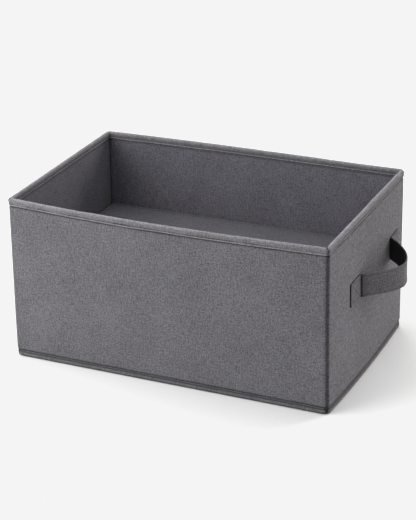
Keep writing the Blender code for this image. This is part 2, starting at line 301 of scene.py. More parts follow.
def stretchedNoise(tree, vector, size, detail=2.0, shift=0.0):
    # noise whose grains are size = (along u, along v) metres big, its middle spread out to 0 to 1
    spread = (0.32, 0.68)
    place = makeNode(tree, "ShaderNodeMapping", Vector=vector, Scale=(1 / size[0], 1 / size[1], 1.0),
                     Location=(shift, shift * 0.37, 0.0))
    noise = makeNode(tree, "ShaderNodeTexNoise", Vector=place.outputs[0], Scale=1.0, Detail=detail)
    spreadNode = makeNode(tree, "ShaderNodeMapRange", Value=noise.outputs["Fac"],
                          **{"From Min": spread[0], "From Max": spread[1]})
    return spreadNode.outputs[0]


def clothFinish(name, look):
    # heathered plain weave: yarn streaks both ways, slubs, a cloudy cast and a woven bump
    material, tree, shader = newMaterial(name)
    uv = makeNode(tree, "ShaderNodeUVMap", {"uv_map": "clothUv"}).outputs[0]
    # heather = weighted sum of the layers, centred on one half
    heather = 0.0
    for size, detail, shift, weight in clothLook["layers"].values():
        layer = stretchedNoise(tree, uv, size, detail, shift)
        part = mathNode(tree, "MULTIPLY", mathNode(tree, "SUBTRACT", layer, 0.5), weight * 1.5)
        heather = mathNode(tree, "ADD", part, heather)
    heather = mathNode(tree, "ADD", heather, 0.5, clamp=True)

    # over and under of the plain weave
    split = makeNode(tree, "ShaderNodeSeparateXYZ", Vector=uv)
    waveU, waveV = (mathNode(tree, "SINE", mathNode(tree, "MULTIPLY", split.outputs[k], math.pi / yarnPitch))
                    for k in (0, 1))
    weave = mathNode(tree, "MULTIPLY", waveU, waveV)
    ridges = mathNode(tree, "ADD", mathNode(tree, "ABSOLUTE", waveU), mathNode(tree, "ABSOLUTE", waveV))
    gapShade = mathNode(tree, "ADD", mathNode(tree, "MULTIPLY", ridges, 0.16), 0.80)
    # painted shading in the base colour: darker where the attribute is above 0, lighter below 0
    crease = makeNode(tree, "ShaderNodeAttribute", {"attribute_name": "paintedShading"}).outputs["Fac"]
    lit = mathNode(tree, "SUBTRACT", 1.0, mathNode(tree, "MULTIPLY", crease, clothLook["creaseShade"]))
    gapShade = mathNode(tree, "MULTIPLY", gapShade, lit)

    colour = mixColours(tree, heather, [c * (1 - look["contrast"]) for c in look["albedo"]],
                        [c * (1 + look["contrast"]) for c in look["albedo"]])
    shade = makeNode(tree, "ShaderNodeVectorMath", {"operation": "SCALE"}, Scale=gapShade)
    tree.links.new(colour, shade.inputs[0])

    relief = mathNode(tree, "ADD", mathNode(tree, "MULTIPLY", weave, 0.3), heather)
    rough = mathNode(tree, "ADD", mathNode(tree, "MULTIPLY", heather, 0.08), 0.86)
    finishSurface(tree, shader, shade.outputs[0], relief, 0.6, 0.45 * mm, rough, 0.2)
    shader.inputs["Sheen Weight"].default_value = clothLook["sheen"]
    shader.inputs["Sheen Roughness"].default_value = 0.6
    return material


webbingLook = {"dark": (0.0065, 0.0065, 0.0072), "light": (0.018, 0.018, 0.019), "rib": 1.1 * mm}


def webbingFinish(name):
    # black ribbed tape: ribs across the tape, fine twill lines along them
    material, tree, shader = newMaterial(name)
    uv = makeNode(tree, "ShaderNodeUVMap", {"uv_map": "clothUv"}).outputs[0]
    split = makeNode(tree, "ShaderNodeSeparateXYZ", Vector=uv)
    across = mathNode(tree, "MULTIPLY", split.outputs[0], 2 * math.pi / webbingLook["rib"])
    rib = mathNode(tree, "SINE", across)
    grain = stretchedNoise(tree, uv, (0.4 * mm, 2.5 * mm), shift=4.4)
    colour = mixColours(tree, grain, webbingLook["dark"], webbingLook["light"])
    finishSurface(tree, shader, colour, mathNode(tree, "ADD", rib, grain), 0.5, 0.25 * mm, 0.78, 0.25)
    return material


threadLook = {"dark": (0.022, 0.022, 0.024), "light": (0.065, 0.065, 0.069), "twist": 0.9 * mm}


def threadFinish(name, dark, light):
    # twisted sewing thread: slanted ply lines and a little dust
    material, tree, shader = newMaterial(name)
    place = makeNode(tree, "ShaderNodeTexCoord").outputs["Object"]
    split = makeNode(tree, "ShaderNodeSeparateXYZ", Vector=place)
    flatSlant = mathNode(tree, "ADD", split.outputs[0], split.outputs[1])
    slant = mathNode(tree, "ADD", flatSlant, split.outputs[2])
    ply = mathNode(tree, "SINE", mathNode(tree, "MULTIPLY", slant, 2 * math.pi / threadLook["twist"]))
    fuzz = makeNode(tree, "ShaderNodeTexNoise", Vector=place, Scale=2200.0, Detail=2.0).outputs["Fac"]
    colour = mixColours(tree, mathNode(tree, "MULTIPLY_ADD", ply, 0.25, 0.5), dark, light)
    finishSurface(tree, shader, colour, mathNode(tree, "ADD", ply, fuzz), 0.4, 0.1 * mm, 0.6)
    return material


def fibreFinish(name, dark, light, grainSize, roughness):
    # pressed board or paper: fibres one way, flecks and a slightly uneven face
    material, tree, shader = newMaterial(name)
    place = makeNode(tree, "ShaderNodeTexCoord").outputs["Object"]
    stretch = makeNode(tree, "ShaderNodeMapping", Vector=place, Scale=(1.0, 1.0, 6.0))
    fibre = makeNode(tree, "ShaderNodeTexNoise", Vector=stretch.outputs[0], Scale=1 / grainSize, Detail=5.0)
    fleck = makeNode(tree, "ShaderNodeTexVoronoi", Vector=place, Scale=0.4 / grainSize)
    share = mathNode(tree, "MULTIPLY_ADD", fleck.outputs["Distance"], 0.3, fibre.outputs["Fac"])
    finishSurface(tree, shader, mixColours(tree, share, dark, light), fibre.outputs["Fac"], 0.3, 0.2 * mm,
                  roughness)
    return material


boardLook = {
    "board": {"dark": (0.20, 0.15, 0.10), "light": (0.42, 0.33, 0.23), "grainSize": 1.2 * mm,
              "roughness": 0.85},
    "backing": {"dark": (0.02, 0.02, 0.022), "light": (0.09, 0.09, 0.095), "grainSize": 0.8 * mm,
                "roughness": 0.9},
}


finishes = {
    "outer_cloth": clothFinish("heatherGreyCloth", clothLook["outer"]),
    "lining_cloth": clothFinish("charcoalLiningCloth", clothLook["lining"]),
    "binding_cloth": clothFinish("bindingCloth", clothLook["binding"]),
    "strap_cloth": clothFinish("strapCloth", clothLook["strap"]),
    "black_webbing": webbingFinish("blackWebbing"),
    "board": fibreFinish("greyBoard", **boardLook["board"]),
    "backing_paper": fibreFinish("blackBacking", **boardLook["backing"]),
    "thread": threadFinish("darkThread", threadLook["dark"], threadLook["light"]),
}


def dress(obj, finish, body, *nodes):
    # give a finished piece its cloth and the body it rides on, and hide the nodes it stands for
    obj.data.materials.clear()
    obj.data.materials.append(finishes[finish])
    if body:
        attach(obj, body)
    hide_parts(*nodes)


# pieces that keep the CAD shape get the finish of their slot too
slotOf = {part["node"]: part["material_slot"] for part in frame["record"]["subparts"]}
for node, slotName in slotOf.items():
    holder = bpy.data.objects.get(node)
    if holder is not None and holder.material_slots:
        for materialSlot in holder.material_slots:
            materialSlot.material = finishes[slotName]
print("stage: finishes made")


stitchShape = {
    "sides": 6, "rings": 5,
    "radius": 0.32 * mm,
    "pitch": 3.1 * mm,
    "length": 2.2 * mm,
    "proud": 0.20 * mm,           # how far a stitch lies above the bottom of the groove it pulls
}


def stitchRow(name, centres, along, out, length=None, radius=None):
    # one little capsule of thread per stitch, its ends dipping into the cloth:
    # a circle carried along the stitch, its radius falling off as sqrt(1 - x^4) towards the ends
    length = length or stitchShape["length"]
    radius = radius or stitchShape["radius"]
    sides, rings = stitchShape["sides"], stitchShape["rings"]
    x = np.linspace(-1, 1, rings)
    swell = np.sqrt(np.clip(1 - np.abs(x) ** 4, 0.08, 1))
    turn = 2 * math.pi * np.arange(sides) / sides
    a = np.repeat(x * length / 2, sides)
    b = (swell[:, None] * np.cos(turn)).ravel() * radius
    c = (swell[:, None] * np.sin(turn)).ravel() * radius - np.repeat((x ** 2) * radius * 1.1, sides)
    along = along / np.linalg.norm(along, axis=1, keepdims=True)
    out = out / np.linalg.norm(out, axis=1, keepdims=True)
    side = np.cross(out, along)
    points = (centres[:, None] + a[None, :, None] * along[:, None] + b[None, :, None] * side[:, None]
              + c[None, :, None] * out[:, None])
    i, j = np.meshgrid(np.arange(rings - 1), np.arange(sides), indexing="ij")
    quads = np.stack([i * sides + j, (i + 1) * sides + j, (i + 1) * sides + (j + 1) % sides,
                      i * sides + (j + 1) % sides], -1).reshape(-1, 4)
    start = np.arange(sides)
    end = (rings - 1) * sides + np.arange(sides)[::-1]
    size = rings * sides
    shift = (np.arange(len(centres)) * size)[:, None]
    faces = (quads[None] + shift[..., None]).reshape(-1, 4).tolist()
    faces += (start[None] + shift).tolist()
    faces += (end[None] + shift).tolist()
    mesh = bpy.data.meshes.new(name)
    mesh.from_pydata(points.reshape(-1, 3).tolist(), [], faces)
    mesh.shade_smooth()
    return addObject(name, mesh)


def straightStitches(start, end, pitch=None, inset=0.0):
    # centres and direction of a row of stitches from start to end, evenly spaced
    start, end = np.array(start, float), np.array(end, float)
    reach = np.linalg.norm(end - start)
    count = max(int(round((reach - 2 * inset) / (pitch or stitchShape["pitch"]))), 1)
    t = (np.arange(count) + 0.5) / count
    centres = start + (end - start) * (inset + t * (reach - 2 * inset))[:, None] / reach
    return centres, np.repeat((end - start)[None] / reach, count, axis=0)


rimShape = {
    "cornerRadius": 4.2 * mm,
    "crestHeight": 3.8 * mm,
    "crestPoint": 1.15,           # above 1 the crest is narrower than half round
    "innerShort": 0.2 * mm,       # how much less far it reaches down inside than outside
    "plump": 0.55 * mm,           # how far the folded strip swells between crest and stitches
    "stitchPull": 0.48 * mm,
    "stitchWidth": 0.75 * mm,
    "foldEdge": 0.42 * mm,
    "crestHighlight": 0.95,             # painted highlight: how much lighter the cloth is along the crest
    "foldHighlight": 0.55,              # and along the folded edges
    "turnUnder": 1.1 * mm,        # how far the folded edge rolls in beneath
    "step": 1.0 * mm,
    "flatWidth": 24.5 * mm,       # of the strip before it is folded
    "cornerFold": 0.85 * mm,      # depth of the fold at a corner, the swell beside it and the crest's dip
    "cornerSwell": 0.50 * mm,
    "cornerDip": 0.9 * mm,
    "crestWobble": 0.18 * mm,     # unevenness of the crest, of the legs and of the folded edge
    "legWobble": 0.16 * mm,
    "edgeWobble": 0.25 * mm,
    "footRaise": 3.0 * mm,        # how far the strip's foot stands above the foot of its box
    "stitchRaise": 2.2 * mm,      # how far the stitches stand above the foot of their box
    "creases": (1.0, 0.55, 0.6, 0.75),    # depth of the fold at each corner, from the front right
}

wallShape = {
    "longBulge": 1.0 * mm,        # how far the middle of a long wall stands out
    "endBulge": 2.4 * mm,
    "waviness": 0.22 * mm,
    "waveSize": 85 * mm,          # about the width of one slow wave, and of one of the fine ones on it
    "fineSize": 22 * mm,
    "dent": 0.45 * mm,            # how far the sewn strap ends draw the cloth in, and how softly
    "dentReach": 6 * mm,
    "edgeRoll": 1.5 * mm,         # radius of the cloth's turn into the corner seam
    "tuck": 0.8 * mm,             # cloth drawn in where the rim and the foot band are sewn on
    "tuckReach": 1.7 * mm,
    "thickness": 0.75 * mm,
    "grid": 3.0 * mm,
    "seeds": {"front": 11, "back": 12, "right": 21, "left": 22},
}
footTop = boxOf["foot_band"][1][2]
rimFoot = boxOf["rim_binding"][0][2] + rimShape["footRaise"]


bowShape = {
    "front": 7.5 * mm,            # how far each long wall leans out at the middle of its rim
    "back": 4.0 * mm,
    "rise": 1.5,                  # power of the height in that lean
    "halfDepth": 60 * mm,         # within this of the middle plane the lean fades out
    "frontDrop": 0.9 * mm,        # the rim stands this much lower at the front than at the back
    "frontSag": 1.3 * mm,
    "cornerDrop": 1.2 * mm,       # the right end's rim tips down at the front and up at the back
    "cornerRise": 1.2 * mm,
    "endLean": 1.5 * mm,          # how far the right end leans out at its rim
    "skew": 1.4 * mm,             # and how far its back edge stands out of square
    "footBow": 3.0 * mm,          # its foot bows out in the middle and stands out at the front
    "footFront": 1.3 * mm,
    "leftLean": 3.8 * mm,         # how far the left end's foot stands out past its rim
}


def bowed(points):
    # the long walls lean out in the middle, most at the rim, by amount * (1 - (x / half length)^2)
    # * (z / height)^rise; the right end leans out too, and the rim dips and lifts with height^2
    x, y, z = points[..., 0], points[..., 1], points[..., 2]
    amount = np.where(y > 0, bowShape["back"], bowShape["front"]) * np.clip(y / bowShape["halfDepth"], -1, 1)
    height = np.clip(z / binHeight, 0, 1.02)
    lean = np.clip(1 - (x / halfLong) ** 2, 0, 1) * height ** bowShape["rise"]
    right = np.clip(x / halfLong, 0, 1) ** 3
    back = np.clip(0.5 + y / (2 * halfWide), 0, 1)
    drop = (bowShape["frontDrop"] + bowShape["cornerDrop"] * right) * (1 - back)
    drop += bowShape["frontSag"] * lean * (y < 0) - bowShape["cornerRise"] * right * back
    slide = bowShape["skew"] * back + bowShape["endLean"] * height ** bowShape["rise"] * (1 - 0.5 * back)
    belly = np.clip(1 - (y / halfWide) ** 2, 0, 1)
    slide += (bowShape["footBow"] * belly + bowShape["footFront"] * (1 - back)) * (1 - height) ** 2
    left = np.clip(-x / halfLong, 0, 1) ** 3
    slide = slide * right - bowShape["leftLean"] * (1 - 0.88 * height) * left
    return np.stack([x + slide, y + amount * lean, z - drop * height ** 2], -1)


def wallBulge(along, z, reach, amount):
    # a pillow shape: the product of two flattened half sine waves
    across = np.clip(np.cos(math.pi * along / (2 * reach)), 0, 1) ** 0.7
    up = np.clip(np.sin(math.pi * z / binHeight), 0, 1) ** 0.7
    return amount * across * up


def wallOffset(along, z, reach, amount, seed):
    # how far the cloth stands out from the flat wall: bulge, slow waves, tuck at foot and rim
    waves = wallShape["waviness"] * ripple(along, z, wallShape["waveSize"], seed)
    waves += 0.35 * wallShape["waviness"] * ripple(along, z * 0.6, wallShape["fineSize"], seed + 50)
    fade = smoothStep((reach - np.abs(along)) / (12 * mm)) * smoothStep((binHeight - z) / (16 * mm))
    deep, wide = wallShape["tuck"], wallShape["tuckReach"]
    drawn = deep * (bell(z - footTop, wide) + bell(z - rimFoot, wide))
    drawn += deep * (z < footTop) * (1 - bell(z - footTop, wide))
    return wallBulge(along, z, reach, amount) + waves * fade * smoothStep(z / (16 * mm)) - drawn


def gridLine(low, high, step, edge, edgeSteps):
    # even steps with a few closer ones in the last bit at each end
    t = np.linspace(0, 1, edgeSteps + 1)[:-1]
    near = low + edge * (1 - np.cos(t * math.pi / 2))
    middle = np.linspace(low + edge, high - edge, max(int((high - low - 2 * edge) / step), 2) + 1)
    return np.concatenate([near, middle, (low + high - near)[::-1]])


def wallOf(node, side):
    # box of one of a wall's nodes, the axis along the wall and the sign of its outside
    low, high = boxOf[node]
    return low, high, 0 if side in ("front", "back") else 1, -1.0 if side in ("front", "left") else 1.0


def onWall(axis, along, out, z):
    # wall points in the frame: axis 0 for the long walls, 1 for the ends
    return bowed(np.stack([along, out, z] if axis == 0 else [out, along, z], -1))


def edgeRoll(along, reach, radius):
    # quarter round at the upright edges
    gap = np.clip(reach - np.abs(along), 0, radius)
    return np.sqrt(np.clip(radius ** 2 - (radius - gap) ** 2, 0, None)) - radius


def handleDent(y, z, end):
    # the cloth is drawn in a little along the sewn box of each strap end
    dent, soft = np.zeros(np.broadcast(y, z).shape), wallShape["dentReach"]
    for side in ("front", "back"):
        low, high = boxOf[f"handle_{end}_strap_end_{side}"]
        insideY = np.clip(np.minimum(y - low[1], high[1] - y) / soft + 1, 0, 1)
        insideZ = np.clip(np.minimum(z - low[2], high[2] - z) / soft + 1, 0, 1)
        dent -= wallShape["dent"] * smoothStep(insideY) * smoothStep(insideZ)
    return dent


def endWallOffset(y, z, end):
    offset = wallOffset(y, z, faceWide, wallShape["endBulge"], wallShape["seeds"][end])
    return offset + handleDent(y, z, end)


def seamShadeStrength(along, side):
    # painted shade in the front left corner's seam is a quarter as dark as in the others
    lightlyShaded = {"front": along < 0, "left": along < 0}.get(side, np.zeros(along.shape, bool))
    return np.where(lightlyShaded, 0.25, 1.0)


def wallPaintedShade(along, z, reach, side):
    # painted shade: under the rim, over the foot band and down both corner seams
    under = bell(np.minimum(z - rimFoot, 0) + 0.6 * mm, 1.0 * mm) + (z > rimFoot)
    above = bell(np.maximum(z - footTop, 0) - 0.5 * mm, 1.5 * mm) + (z < footTop)
    seam = 0.70 * smoothStep((np.abs(along) - reach + 2.6 * mm) / (2.6 * mm)) ** 1.3
    return np.clip(under + above + seam * seamShadeStrength(along, side), 0, 1)


def makeOuterPanel(side):
    # cloth over one wall: along the wall by height, standing out by wallOffset
    low, high, axis, sign = wallOf(f"outer_{side}", side)
    reach = (faceLong if axis == 0 else faceWide) - wallShape["edgeRoll"]
    along = gridLine(-reach, reach, wallShape["grid"], wallShape["edgeRoll"], 6)
    z = np.concatenate([np.linspace(low[2], footTop + 5 * mm, 18)[:-1],
                        np.linspace(footTop + 5 * mm, rimFoot - 6 * mm, 52)[:-1],
                        np.linspace(rimFoot - 6 * mm, rimFoot + 6 * mm, 20)])
    a, b = np.meshgrid(along, z, indexing="ij")
    if axis == 0:
        off = wallOffset(a, b, reach, wallShape["longBulge"], wallShape["seeds"][side])
        face = faceWide
    else:
        off = endWallOffset(a, b, side)
        face = faceLong
    out = sign * (face + off + edgeRoll(a, reach, wallShape["edgeRoll"]))
    points = onWall(axis, a, out, b)
    uv = np.stack([a, b] if axis == 0 else [0.75 * b, 0.40 * a], -1) + 0.7 * (axis + 1) + 0.3 * sign
    obj = gridPiece(f"outerCloth_{side}", points, uv, flip=side in ("back", "left"),
                    paintedShading=wallPaintedShade(a, b, reach, side))
    thicken(obj, wallShape["thickness"])
    dress(obj, "outer_cloth", "shell", f"outer_{side}")


for wallSide in ("front", "back", "left", "right"):
    makeOuterPanel(wallSide)
print("stage: outer cloth")

liningShape = {"waviness": 0.25 * mm, "thickness": 0.45 * mm, "corner": 1.2 * mm, "grid": 3.0 * mm,
               "seeds": {"front": 31, "back": 32, "left": 33, "right": 34}}
stiffenerShape = {"grid": (40, 24), "patchGrid": (10, 10), "waviness": 0.06 * mm, "seed": 91, "patchSeed": 97,
                  "clearance": 0.15 * mm}


def makeLiningPanel(side):
    # lining on one wall, its face turned in to the bin; it dips back into the corner seams
    low, high, axis, sign = wallOf(f"lining_{side}", side)
    reach = min(high[axis], (innerLong if axis == 0 else innerWide) + 0.4 * mm)
    along = gridLine(-reach, reach, liningShape["grid"], liningShape["corner"], 4)
    z = np.linspace(low[2], rimFoot + 6 * mm, 60)
    a, b = np.meshgrid(along, z, indexing="ij")
    seed = liningShape["seeds"][side]
    waves = ripple(a, b, 0.11, seed) + 0.3 * ripple(a, b, 0.03, seed + 40)
    fade = smoothStep((reach - np.abs(a)) / (15 * mm)) * smoothStep((binHeight - b) / (20 * mm))
    inward = liningShape["waviness"] * (waves + 1.2) * fade
    out = sign * ((innerWide if axis == 0 else innerLong) - inward)
    points = onWall(axis, a, out, b)
    uv = np.stack([a + 2.3 + 0.9 * axis + 0.4 * sign, b], -1)
    # painted shade down the corner seams and under the rim
    seam = 0.95 * smoothStep((np.abs(a) - reach + 1.8 * mm) / (1.5 * mm))
    under = 0.5 * bell(np.minimum(b - rimFoot - rimShape["innerShort"], 0) + 0.5 * mm, 0.9 * mm)
    obj = gridPiece(f"liningCloth_{side}", points, uv, flip=side in ("front", "right"),
                    paintedShading=seam + under)
    thicken(obj, liningShape["thickness"])
    dress(obj, "lining_cloth", "shell", f"lining_{side}")


def makeStiffener(name, node, side, finish, grid, seed):
    # flat stiff piece between the cloths of one wall, leaning out with them
    low, high, axis, sign = wallOf(node, side)
    a, b = np.meshgrid(np.linspace(low[axis], high[axis], grid[0]), np.linspace(low[2], high[2], grid[1]),
                       indexing="ij")
    face = max(abs(low[1 - axis]), abs(high[1 - axis]))
    out = sign * (face + stiffenerShape["waviness"] * (ripple(a, b, 0.05, seed) - 1.4))
    points = onWall(axis, a, out, b)
    obj = gridPiece(name, points, np.stack([a, b], -1), flip=side in ("back", "left"))
    thicken(obj, high[1 - axis] - low[1 - axis] - stiffenerShape["clearance"])
    dress(obj, finish, "shell", node)


for wallSide in ("front", "back", "left", "right"):
    makeLiningPanel(wallSide)
    makeStiffener(f"stiffBoard_{wallSide}", f"board_{wallSide}", wallSide, "board", stiffenerShape["grid"],
                  stiffenerShape["seed"] + len(wallSide))
for wallSide in ("left", "right"):
    for strapEnd in ("front", "back"):
        patchNode = f"handle_{wallSide}_patch_{strapEnd}"
        makeStiffener(f"strapPatch_{wallSide}_{strapEnd}", patchNode, wallSide, slotOf[patchNode],
                      stiffenerShape["patchGrid"], stiffenerShape["patchSeed"])


plateShape = {"corner": 3 * mm, "step": 6 * mm}
plates = {
    "undersideCloth": {"node": "outer_underside", "finish": "outer_cloth", "bulge": 0.0, "edge": 0.6 * mm,
                       "seed": 61, "uvShift": 5.0, "held": "stretched", "rests": ["foot_band"]},
    "liningFloorCloth": {"node": "lining_floor", "finish": "lining_cloth", "bulge": 0.12 * mm,
                         "edge": 0.4 * mm, "seed": 62, "uvShift": 6.0, "held": "laid",
                         "rests": ["outer_underside"]},
}


def makePlate(name, node, finish, bulge, edge, seed, uvShift, held, rests):
    # flat cloth plate: outlines shrinking to the middle line on top, then growing again beneath
    low, high = boxOf[node]
    halfX, halfY = high[0], high[1]
    path = outlinePath(halfX, halfY, plateShape["corner"], plateShape["step"], 6)
    thick = high[2] - low[2]
    inward = np.concatenate([[0.0], edge * (1 - np.cos(np.linspace(0.3, 1, 4) * math.pi / 2)),
                             np.linspace(edge, halfY - 0.2 * mm, 22)[1:]])
    topZ = high[2] - thick * 0.5 * (1 - np.sqrt(np.clip(1 - (1 - np.clip(inward / edge, 0, 1)) ** 2, 0, 1)))
    lowZ = low[2] + high[2] - topZ
    depth = allRound(np.concatenate([inward[::-1], inward[1:]]), path)
    height = allRound(np.concatenate([topZ[::-1], lowZ[1:]]), path)
    flat = outlineAt(path, depth)
    top = np.arange(depth.shape[1]) < len(inward)
    swell = bulge * ripple(flat[..., 0], flat[..., 1], 0.09, seed) * smoothStep(depth / (15 * mm))
    height = height + swell * top
    points = np.concatenate([flat, height[..., None]], -1)
    uv = np.concatenate([flat, flat[:1]], 0) + uvShift
    obj = gridPiece(name, points, uv, closeRows=True)
    closeMiddle(obj)
    dress(obj, finish, "shell", node)


def closeMiddle(obj):
    # the last outlines meet on the middle line of the plate: sew them together and face them out
    bm = bmesh.new()
    bm.from_mesh(obj.data)
    boundary = [e for e in bm.edges if e.is_boundary]
    bmesh.ops.holes_fill(bm, edges=boundary, sides=0)
    bmesh.ops.triangulate(bm, faces=[f for f in bm.faces if len(f.verts) > 4])
    bmesh.ops.recalc_face_normals(bm, faces=bm.faces[:])
    bm.to_mesh(obj.data)
    bm.free()
    obj.data.shade_smooth()


for plateName, plate in plates.items():
    makePlate(plateName, **plate)
print("stage: lining, floor and underside")


rimStitchZ = boxOf["rim_thread_outer"][0][2] + rimShape["stitchRaise"]
rimDeep = halfLong - (boxOf["rim_thread_inner"][1][0] + 0.3 * mm)


def innerLevel(z):
    # height on the inner leg of the strip for a height on the outer one, which reaches further down
    shoulder = binHeight - rimShape["crestHeight"]
    return shoulder - (shoulder - z) * (1 - rimShape["innerShort"] / (shoulder - rimFoot))


def rimProfile(path):
    # up the outer leg, over a half-round crest, down the inner leg, and back on the inside
    shape = rimShape
    shoulder = binHeight - shape["crestHeight"]
    roll = np.linspace(0, math.pi / 2, 5)[:-1]
    aboveStitch = rimStitchZ + 1.6 * mm
    legZ = np.concatenate([rimFoot + 0.45 * mm * (1 - np.sin(roll)),
                           np.linspace(rimFoot + 0.55 * mm, aboveStitch, 13)[1:],
                           np.linspace(aboveStitch, shoulder, 6)[1:]])
    legDepth = np.zeros_like(legZ)
    legDepth[:4] = shape["turnUnder"] * np.cos(roll) ** 2
    turn = np.linspace(0, math.pi, 19)[1:-1]
    crestDepth = rimDeep / 2 * (1 - np.cos(turn))
    crestZ = shoulder + shape["crestHeight"] * np.sin(turn) ** shape["crestPoint"]
    inset = shape["turnUnder"] + 0.1 * mm
    insideDepth = np.array([rimDeep - inset, rimDeep - inset, rimDeep / 2, inset, inset])
    insideZ = np.array([rimFoot + 0.6 * mm, shoulder, binHeight - 1.3 * mm, shoulder, rimFoot + 0.6 * mm])
    depth = np.concatenate([legDepth, crestDepth, rimDeep - legDepth[::-1], insideDepth])
    flatZ = np.concatenate([legZ, crestZ, legZ[::-1], insideZ])
    height = np.concatenate([legZ, crestZ, innerLevel(legZ[::-1]), insideZ + 1.0 * mm * (insideZ < shoulder)])
    # which way each point of the profile swells, and which points lie on its legs
    ones, none, still = np.ones(len(legZ)), np.zeros(len(legZ)), np.zeros(len(insideZ))
    outward = np.concatenate([-ones, -np.cos(turn), ones, still])
    upward = np.concatenate([none, np.sin(turn), none, still])
    leg = np.concatenate([ones, np.zeros(len(turn)), ones, still])

    depth, height, z = allRound(depth, path), allRound(height, path), allRound(flatZ, path)
    s = path["s"][:-1, None]
    around = path["around"]
    puckers = stitchPuckers(path)
    swell = shape["plump"] * bell(z - (rimStitchZ + 3.8 * mm), 2.8 * mm)
    swell += shape["foldEdge"] * bell(z - (rimFoot + 1.0 * mm), 0.9 * mm)
    swell -= shape["stitchPull"] * bell(z - rimStitchZ, shape["stitchWidth"]) * (0.70 + 0.30 * puckers)
    swell += 0.12 * mm * puckers * bell(z - (rimStitchZ + 2.0 * mm), 1.6 * mm)
    swell += shape["legWobble"] * roundRipple(s, around, 60, 5) * bell(z - (rimStitchZ + 4 * mm), 4 * mm)
    gap, which = path["corner"]["gap"][:, None], path["corner"]["which"][:, None]
    strength = np.array(shape["creases"])[which]
    crease = shape["cornerSwell"] * bell(np.abs(gap) - 3.2 * mm, 1.9 * mm)
    crease -= shape["cornerFold"] * bell(gap, 0.7 * mm)
    swell += strength * crease * smoothStep((z - rimFoot + 1 * mm) / (3 * mm))
    crestDip = shape["crestWobble"] * roundRipple(s, around, 14, 8)
    crestDip = crestDip - shape["cornerDip"] * strength * bell(gap, 5.0 * mm)
    depth = depth + outward * swell
    height = height + upward * (swell * 0.6 + crestDip)
    height -= shape["edgeWobble"] * leg * roundRipple(s, around, 26, 9) * bell(z - rimFoot, 2 * mm)
    # painted shade along the stitches, under the folded edge and in the corner folds; painted highlight along
    # the folded edges and the crest
    shade = 0.16 * bell(z - rimStitchZ, 0.6 * mm) * (0.45 + 0.55 * puckers)
    shade = shade + 0.5 * (z < rimFoot + 0.25 * mm)
    shade = shade + 0.10 * bell(z - (rimStitchZ + 1.5 * mm), 2.2 * mm)
    paintedHighlight = shape["foldHighlight"] * bell(z - (rimFoot + 0.9 * mm), 0.8 * mm) * leg
    paintedHighlight = paintedHighlight + shape["crestHighlight"] * upward ** 3
    shade = shade * leg + 0.75 * strength * bell(gap, 0.8 * mm) - paintedHighlight * (1 - bell(gap, 1.2 * mm))
    return depth, height, shade


rimPath = outlinePath(halfLong, halfWide, rimShape["cornerRadius"], rimShape["step"], 16)
rimCloth = carryProfile("rimBindingCloth", rimPath, *rimProfile(rimPath))
dress(rimCloth, "binding_cloth", "shell", "rim_binding")


def pathStitches(path, depth, z, outSign=1.0):
    # stitches round an outline at one depth and height: spaced by length along it
    flat = outlineAt(path, np.array([depth]))[:, 0]
    spot, onward = spreadAlong(np.vstack([flat, flat[:1]]), stitchShape["pitch"], 0.5 * mm)
    along = np.column_stack([onward, np.zeros(len(spot))])
    centres = bowed(np.column_stack([spot, np.full(len(spot), z)]))
    out = outSign * np.cross(along, np.array([0.0, 0.0, 1.0]))
    return centres, along, out


def rimRow(name, node, depth, level, outSign):
    row = stitchRow(name, *pathStitches(rimPath, depth, level, outSign))
    dress(row, "thread", "shell", node)


stitchDeep = rimShape["stitchPull"] - stitchShape["proud"]
rimRow("rimStitchesOuter", "rim_thread_outer", stitchDeep, rimStitchZ, 1.0)
rimRow("rimStitchesInner", "rim_thread_inner", rimDeep - stitchDeep, innerLevel(rimStitchZ), -1.0)

footShape = {
    "cornerRadius": 8.0 * mm,
    "plump": 0.40 * mm,
    "stitchPull": 0.60 * mm,
    "cornerFold": 0.35 * mm,
    "wobble": 0.14 * mm,
    "turnUnder": 1.2 * mm,
    "roll": 1.9 * mm,             # height and depth of its rolled lower edge
    "rollDepth": 1.7 * mm,
    "low": 0.15 * mm,             # its rolled lower edge stands this far off the floor
    "step": 1.2 * mm,
    "flatWidth": 12.0 * mm,
}
footStitchZ = boxOf["foot_thread"][0][2] + 0.2 * mm


def footProfile(path):
    # bulging band: rolled under at the floor, drawn in along the stitches and folded at its top
    shape = footShape
    deep, roll, rollDepth = shape["turnUnder"], shape["roll"], shape["rollDepth"]
    under = np.linspace(0, math.pi / 2, 6)[:-1]
    z = np.linspace(roll, footTop - 0.35 * mm, 18)
    depth = np.concatenate([rollDepth * (1 - np.sin(under)), np.zeros(len(z)), [0.10 * mm, 0.6 * mm, deep],
                            [deep, deep, rollDepth]])
    height = np.concatenate([roll - (roll - shape["low"]) * np.cos(under), z,
                             [footTop - 0.12 * mm, footTop, footTop - 0.05 * mm],
                             [footTop - 0.5 * mm, footTop / 2, 0.7 * mm]])
    outward = np.concatenate([np.sin(under), np.ones(len(z)), np.zeros(6)])
    depth, height = allRound(depth, path), allRound(height, path)
    s = path["s"][:-1, None]
    around = path["around"]
    puckers = stitchPuckers(path)
    swell = shape["plump"] * bell(height - 3.4 * mm, 2.2 * mm)
    swell -= shape["stitchPull"] * bell(height - footStitchZ, 0.7 * mm) * (0.75 + 0.25 * puckers)
    swell += shape["wobble"] * roundRipple(s, around, 50, 15) * bell(height - 3.5 * mm, 2.5 * mm)
    gap = path["corner"]["gap"][:, None]
    swell -= shape["cornerFold"] * bell(gap, 0.9 * mm) * smoothStep((height - 2 * mm) / (3 * mm))
    # painted shade: some over the whole band, more along the stitches, in the corner folds and at the rolled
    # lower edge
    shade = 0.22 + 0.75 * bell(height - footStitchZ, 1.0 * mm) * (0.7 + 0.3 * puckers)
    shade = shade + 0.5 * bell(gap, 0.8 * mm) + 0.75 * smoothStep((3.6 * mm - height) / (2.8 * mm))
    return depth - outward * swell, height, shade


